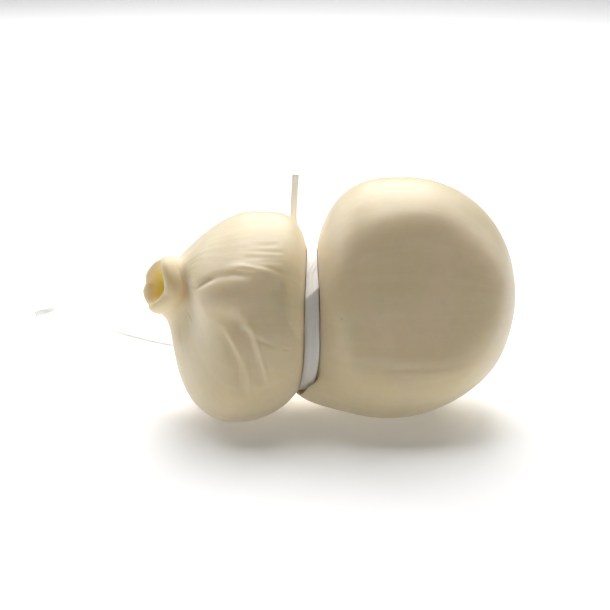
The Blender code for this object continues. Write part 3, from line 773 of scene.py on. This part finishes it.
def bend_lift(side, turns):
    """The ribbon's bend at its front top: it runs straight to a slanting edge and straight back.

    Each half is the straight line between a place on the neck's circle and the raised edge, as a
    height over the circle: radius * edge * sin(reach) / (radius * sin(a) + edge * sin(b)) - radius.
    """
    edge = NECK_RADIUS + BEND_HEIGHT
    away = np.minimum(np.abs(turns - BEND_TURN - BEND_SLANT * side), BEND_REACH)
    line = NECK_RADIUS * np.sin(BEND_REACH - away) + edge * np.sin(away)
    return np.maximum(NECK_RADIUS * edge * math.sin(BEND_REACH) / line - NECK_RADIUS, 0)


def fullness(t):
    """How full the ribbon's section is at an angle round it: 0 at its edges, 1 away from them."""
    return min(1.0, abs(math.sin(t)) * EDGE_STEEPNESS)


def rib(side, ribs, shift=0.0):
    """The ribs' height at a share of the ribbon's width: a cosine of that many waves across."""
    count, height = ribs
    return height * math.cos(2 * math.pi * side * count + shift)


def ribbon_band():
    """The ribbon's first turn: a thin hoop over the neck, ribbed, and crumpled at its top."""
    count, section_count = BAND_POINTS
    turns = np.arange(count) * 2 * math.pi / count
    section = np.linspace(0, 2 * math.pi, section_count, endpoint=False)
    upper_face, lower_face = BAND_FACES
    rows = []
    for t in section:
        side = -0.5 * math.cos(t)
        face = lower_face
        if math.sin(t) > 0:
            crumple = waves(turns + 0.5 * side, (19, 27, 38), 21) * bell(turns - 0.45, 0.5)
            face = upper_face + rib(side, BAND_RIBS) + BAND_CRUMPLE * crumple * (1 - 4 * side ** 2)
        lift = GAP + bend_lift(side, turns) + BAND_HEIGHT + face * fullness(t)
        rows.append(neck_place(side, turns, lift))
    points = np.stack(rows)
    shape = points.shape[:2]
    across = np.broadcast_to((-RIBBON_HALF_WIDTH * np.cos(section))[:, None], shape)
    grain = np.stack([across, np.broadcast_to(NECK_GRAIN_RADIUS * np.cos(turns), shape),
                      np.broadcast_to(NECK_GRAIN_RADIUS * np.sin(turns), shape)], axis=-1)
    return shell("ribbon_hoop", points, wrap_rows=True, grain=grain)


def ribbon_overlap():
    """The ribbon's second turn, from the slanting bend down the front and under to the knot."""
    count, section_count = OVERLAP_POINTS
    section = np.linspace(0, 2 * math.pi, section_count, endpoint=False)
    upper_face, lower_face = OVERLAP_FACES
    columns = []
    for t in section:
        side = -0.5 * math.cos(t)
        start = BEND_TURN + BEND_SLANT * side
        turns = start + np.linspace(0, 1, count) * (OVERLAP_END - start)
        face = upper_face + rib(side, OVERLAP_RIBS, 0.6) if math.sin(t) > 0 else lower_face
        lift = GAP + bend_lift(side, turns) + OVERLAP_HEIGHT + face * fullness(t)
        columns.append(neck_place(side * 0.98, turns, lift))
    points = np.stack(columns, axis=1)
    shape = points.shape[:2]
    across = np.broadcast_to(-RIBBON_HALF_WIDTH * np.cos(section), shape)
    length = np.linspace(0, OVERLAP_LENGTH, count)[:, None]
    grain = np.stack([across, np.broadcast_to(length, shape), np.zeros(shape)], axis=-1)
    caps = (points[0].mean(axis=0), points[-1].mean(axis=0))
    return shell("ribbon_overlap", points, caps=caps, grain=grain)


def ribbon_knot():
    """The knot: a ribbon strip wound three times over a squeezed ball, in changing directions.

    The winding's centre runs over the ball as a curve whose pole turns, and the strip's section
    is a flat oval that lies along the ball's surface.
    """
    count, section_count = KNOT_POINTS
    share = np.linspace(0, 1, count, endpoint=False)
    once = share * 2 * math.pi
    turn = KNOT_WINDINGS * once
    tilt = KNOT_SWAY * np.sin(once)
    way = np.stack([np.sin(turn) * np.cos(tilt), np.cos(turn), np.sin(turn) * np.sin(tilt)], 1)
    size = np.array((KNOT_SIZE[0], KNOT_SIZE[2], KNOT_SIZE[1])) - KNOT_INSET
    route = way * size
    tangent = np.roll(route, -1, axis=0) - np.roll(route, 1, axis=0)
    tangent /= np.linalg.norm(tangent, axis=1, keepdims=True)
    out = way / size
    out -= np.sum(out * tangent, axis=1, keepdims=True) * tangent
    out /= np.linalg.norm(out, axis=1, keepdims=True)
    across = np.cross(tangent, out)
    section = np.linspace(0, 2 * math.pi, section_count, endpoint=False)
    wide = STRIP_HALF_WIDTH * np.cos(section)
    thick = STRIP_HALF_THICKNESS * np.sin(section) - STRIP_BEND * np.cos(section) ** 2
    layer = STRIP_RISE * np.sin(2 * once)
    points = (route[:, None] + across[:, None] * wide[None, :, None]
              + out[:, None] * (thick[None, :] + layer[:, None])[..., None])
    sine, cosine = math.sin(KNOT_TURN), math.cos(KNOT_TURN)
    y = points[..., 1] * cosine - points[..., 2] * sine
    z = points[..., 1] * sine + points[..., 2] * cosine
    reach = NECK_RADIUS + KNOT_LIFT + 2 * GAP + KNOT_SIZE[1]
    centre = (KNOT_X, NECK_AXIS_Y - reach * sine, NECK_AXIS_Z + reach * cosine)
    points = np.stack([points[..., 0], y, z], axis=-1) + centre
    shape = points.shape[:2]
    grain = np.stack([np.broadcast_to(wide, shape),
                      np.broadcast_to(KNOT_GRAIN_RADIUS * np.cos(once)[:, None], shape),
                      np.broadcast_to(KNOT_GRAIN_RADIUS * np.sin(once)[:, None], shape)], axis=-1)
    return shell("ribbon_knot_wraps", points, wrap_rows=True, grain=grain)


def node(tree, kind, settings=None, **inputs):
    """Add a node. settings are its properties, and inputs are values or sockets by input name.

    An input's name has _ in place of a space.
    """
    made = tree.nodes.new("ShaderNode" + kind)
    for name, value in (settings or {}).items():
        setattr(made, name, value)
    for name, value in inputs.items():
        plug(tree, made.inputs[name.replace("_", " ")], value)
    return made


def plug(tree, socket, value):
    """Link a socket to an input, or set the input's own value."""
    if isinstance(value, bpy.types.NodeSocket):
        tree.links.new(value, socket)
    else:
        socket.default_value = value


def maths(tree, operation, *values):
    """A Math node's result."""
    made = node(tree, "Math", {"operation": operation})
    for socket, value in zip(made.inputs, values):
        plug(tree, socket, value)
    return made.outputs[0]


def blend(tree, factor, first, second):
    """A colour between two, by a factor."""
    made = node(tree, "Mix", {"data_type": "RGBA"})
    for index, value in ((0, factor), (6, first), (7, second)):
        plug(tree, made.inputs[index], value)
    return made.outputs[2]


def spread(tree, value, low, high, to_low=0.0, to_high=1.0):
    """A value stretched from one range to another, held at its ends."""
    made = node(tree, "MapRange", {"interpolation_type": "SMOOTHSTEP"}, Value=value, From_Min=low,
                From_Max=high, To_Min=to_low, To_Max=to_high)
    return made.outputs[0]


def noise(tree, vector, scale, stretch=(1, 1, 1), detail=2.0, rough=0.5):
    """Noise over a vector stretched by three factors."""
    place = node(tree, "Mapping", Vector=vector, Scale=stretch)
    made = node(tree, "TexNoise", Vector=place.outputs[0], Scale=scale, Detail=detail,
                Roughness=rough)
    return made.outputs["Fac"]


def rgb(red, green, blue):
    """A colour from its screen values of 0 to 255."""
    scaled = (value / 255 for value in (red, green, blue))
    return tuple(((s + 0.055) / 1.055) ** 2.4 if s > 0.04 else s / 12.92 for s in scaled) + (1,)


def attribute(tree, name, output="Fac"):
    """The mesh's own value of that name."""
    return node(tree, "Attribute", {"attribute_name": name}).outputs[output]


def material(name):
    """A material, its tree and its shader."""
    made = bpy.data.materials.new(name)
    made.use_nodes = True
    return made, made.node_tree, made.node_tree.nodes["Principled BSDF"]


def speck_mask(tree, place):
    """1 at the small dark pits in the skin, 0 elsewhere."""
    total = 0.0
    for centre, radius in SPECKS:
        away = node(tree, "VectorMath", {"operation": "DISTANCE"})
        plug(tree, away.inputs[0], place)
        away.inputs[1].default_value = Vector(centre) * MM
        spot = spread(tree, away.outputs["Value"], radius * MM * 0.4, radius * MM * 1.6, 1.0, 0.0)
        total = maths(tree, "MAXIMUM", spot, total)
    return total


def cheese_finish():
    """Smooth moist curd: cream, faintly mottled and streaked along the pull, ochre in the mouth."""
    made, tree, shader = material("cheese_cream")
    place = node(tree, "TexCoord").outputs["Object"]
    grain = attribute(tree, "grain", "Vector")
    patches = noise(tree, place, 38, detail=3)
    mottle = noise(tree, place, 210, detail=4, rough=0.6)
    streaks = noise(tree, grain, 420, (1, 1, 0.05), detail=4, rough=0.62)
    threads = noise(tree, grain, 1500, (1, 1, 0.04), detail=2)
    pores = noise(tree, place, 1700, detail=3, rough=0.7)

    colour = blend(tree, spread(tree, patches, 0.36, 0.64), rgb(242, 224, 189),
                   rgb(235, 219, 178))
    colour = blend(tree, spread(tree, mottle, 0.35, 0.7, 0.0, 0.35), colour, rgb(228, 212, 176))
    colour = blend(tree, spread(tree, streaks, 0.45, 0.72, 0.0, 0.35), colour, rgb(244, 231, 201))
    # Painted shade: the creases are darkened to a brown cream
    furrow = attribute(tree, "furrow")
    colour = blend(tree, spread(tree, furrow, 0.1, 0.9, 0.0, 0.6), colour, rgb(192, 164, 112))
    # Painted shade: the waist round the groove is darkened
    colour = blend(tree, attribute(tree, "waist"), colour, rgb(190, 160, 112))
    # Painted shade: the pinched corner beside the nozzle is darkened and browned
    colour = blend(tree, attribute(tree, "pinch"), colour, rgb(224, 190, 126))
    colour = blend(tree, attribute(tree, "mouth"), colour, rgb(252, 234, 176))
    colour = blend(tree, maths(tree, "MULTIPLY", speck_mask(tree, place), 0.35), colour,
                   rgb(140, 118, 82))
    plug(tree, shader.inputs["Base Color"], colour)

    height = maths(tree, "MULTIPLY", streaks, 0.5)
    height = maths(tree, "MULTIPLY_ADD", threads, 0.25, height)
    height = maths(tree, "MULTIPLY_ADD", pores, 0.12, height)
    height = maths(tree, "MULTIPLY_ADD", mottle, 0.5, height)
    bump = node(tree, "Bump", Strength=1.0, Distance=0.12 * MM, Height=height)
    plug(tree, shader.inputs["Normal"], bump.outputs[0])
    plug(tree, shader.inputs["Roughness"], spread(tree, streaks, 0.3, 0.7, 0.34, 0.48))
    shader.inputs["Subsurface Weight"].default_value = 0.9
    plug(tree, shader.inputs["Subsurface Radius"],
         blend(tree, attribute(tree, "mouth"), (1.0, 0.78, 0.52, 1), (1.0, 0.8, 0.4, 1)))
    plug(tree, shader.inputs["Subsurface Scale"],
         maths(tree, "MULTIPLY_ADD", attribute(tree, "mouth"), 5 * MM, 4.5 * MM))
    shader.inputs["IOR"].default_value = 1.42
    shader.inputs["Sheen Weight"].default_value = 0.3
    shader.inputs["Coat Weight"].default_value = 0.15
    shader.inputs["Coat Roughness"].default_value = 0.5
    return made


def ribbed_film():
    """The ribbon's fine ribs as a node group: their colour, roughness and normal from its grain."""
    tree = bpy.data.node_groups.new("ribbed_film", "ShaderNodeTree")
    for name, way, kind in (("Grain", "INPUT", "NodeSocketVector"),
                            ("Rib Depth", "INPUT", "NodeSocketFloat"),
                            ("Colour", "OUTPUT", "NodeSocketColor"),
                            ("Roughness", "OUTPUT", "NodeSocketFloat"),
                            ("Normal", "OUTPUT", "NodeSocketVector")):
        tree.interface.new_socket(name=name, in_out=way, socket_type=kind)
    given = tree.nodes.new("NodeGroupInput").outputs
    result = tree.nodes.new("NodeGroupOutput").inputs
    ribs = noise(tree, given["Grain"], 1800, (1, 0.01, 0.01), detail=3, rough=0.6)
    wide = noise(tree, given["Grain"], 500, (1, 0.04, 0.04), detail=2)
    colour = blend(tree, spread(tree, ribs, 0.35, 0.7), rgb(249, 244, 236), rgb(254, 251, 246))
    colour = blend(tree, spread(tree, wide, 0.4, 0.7, 0.0, 0.4), colour, rgb(238, 230, 220))
    plug(tree, result["Colour"], colour)
    plug(tree, result["Roughness"], spread(tree, ribs, 0.3, 0.7, 0.38, 0.5))
    height = maths(tree, "MULTIPLY_ADD", wide, 1.0, ribs)
    bump = node(tree, "Bump", Strength=1.0, Distance=given["Rib Depth"], Height=height)
    plug(tree, result["Normal"], bump.outputs[0])
    return tree


def ribbon_finish(name, film, subsurface, scale):
    """Pale split-film ribbon: satin, with fine ribs along its length.

    The free ends have a finish of their own, because more light passes through them.
    """
    made, tree, shader = material(name)
    ribbed = node(tree, "Group", {"node_tree": film}, Grain=attribute(tree, "grain", "Vector"),
                  Rib_Depth=RIB_DEPTH)
    plug(tree, shader.inputs["Base Color"], ribbed.outputs["Colour"])
    plug(tree, shader.inputs["Normal"], ribbed.outputs["Normal"])
    plug(tree, shader.inputs["Roughness"], ribbed.outputs["Roughness"])
    shader.inputs["Subsurface Weight"].default_value = subsurface
    shader.inputs["Subsurface Radius"].default_value = (1.0, 0.97, 0.94)
    shader.inputs["Subsurface Scale"].default_value = scale
    return made


def make_camera():
    """The camera, aimed at the middle of the cheese from the front and a little above."""
    camera = bpy.data.objects.new("camera", bpy.data.cameras.new("camera"))
    camera.data.lens = CAMERA_LENS
    camera.data.sensor_width = 36
    camera.data.clip_start = 0.01
    back = Vector((0, -math.cos(CAMERA_DOWN), math.sin(CAMERA_DOWN)))
    camera.location = Vector(CAMERA_AIM) + back * CAMERA_DISTANCE
    camera.rotation_euler = (math.pi / 2 - CAMERA_DOWN, 0, 0)
    bpy.context.scene.collection.objects.link(camera)
    bpy.context.scene.camera = camera


def softbox(name, place, aim, size, power):
    """A soft rectangular light that looks at a point."""
    data = bpy.data.lights.new(name, "AREA")
    data.shape = "RECTANGLE"
    data.size, data.size_y = size
    data.energy = power
    light = bpy.data.objects.new(name, data)
    light.location = place
    light.rotation_mode = "QUATERNION"
    light.rotation_quaternion = (Vector(aim) - Vector(place)).to_track_quat("-Z", "Y")
    bpy.context.scene.collection.objects.link(light)


def make_studio():
    """A pale floor that glows faintly like a light table, and soft lights above and behind."""
    mesh = bpy.data.meshes.new("floor")
    corners = ((-1, -1), (1, -1), (1, 1), (-1, 1))
    mesh.from_pydata([(FLOOR_HALF * x, FLOOR_HALF * y, 0) for x, y in corners], [], [(0, 1, 2, 3)])
    floor = bpy.data.objects.new("floor", mesh)
    bpy.context.scene.collection.objects.link(floor)
    made, _, shader = material("floor_pale")
    shader.inputs["Base Color"].default_value = FLOOR_COLOUR
    shader.inputs["Roughness"].default_value = 0.8
    shader.inputs["Specular IOR Level"].default_value = 0.2
    shader.inputs["Emission Color"].default_value = (1, 1, 1, 1)
    shader.inputs["Emission Strength"].default_value = FLOOR_GLOW
    mesh.materials.append(made)

    for name, turn, rise, power in LIGHTS:
        turn, rise = math.radians(turn), math.radians(rise)
        away = Vector((math.sin(turn) * math.cos(rise), math.cos(turn) * math.cos(rise),
                       math.sin(rise)))
        softbox(name, LIGHTS_AIM + away * LIGHTS_AWAY, LIGHTS_AIM, LIGHTS_SIZE, power)

    world = bpy.data.worlds.new("world")
    world.use_nodes = True
    world.node_tree.nodes["Background"].inputs["Strength"].default_value = 0.0
    bpy.context.scene.world = world
    bpy.context.scene.view_settings.view_transform = "Standard"


def dress(piece, nodes, finish):
    """Give a piece its finish and its slot, let it ride, and stand it in for its nodes."""
    piece.data.materials.append(finish)
    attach(piece, "root")
    if nodes:
        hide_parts(*nodes)


def main():
    """The camera, the ribbon's pieces, the studio and the cheese."""
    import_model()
    make_camera()
    film = ribbed_film()
    ribbon = ribbon_finish("ribbon_white", film, 0.5, 0.6 * MM)
    ribbon_end = ribbon_finish("ribbon_end_white", film, 0.75, 1.2 * MM)
    for name, stands_for, *shape in TAILS:
        tail, route, length = ribbon_tail(name, *shape)
        dress(tail, [stands_for], ribbon_end)
    make_studio()
    dress(ribbon_band(), ["ribbon_band"], ribbon)
    dress(ribbon_overlap(), [], ribbon)
    dress(ribbon_knot(), ["ribbon_knot"], ribbon)
    dress(cheese(), ["cheese"], cheese_finish())


main()
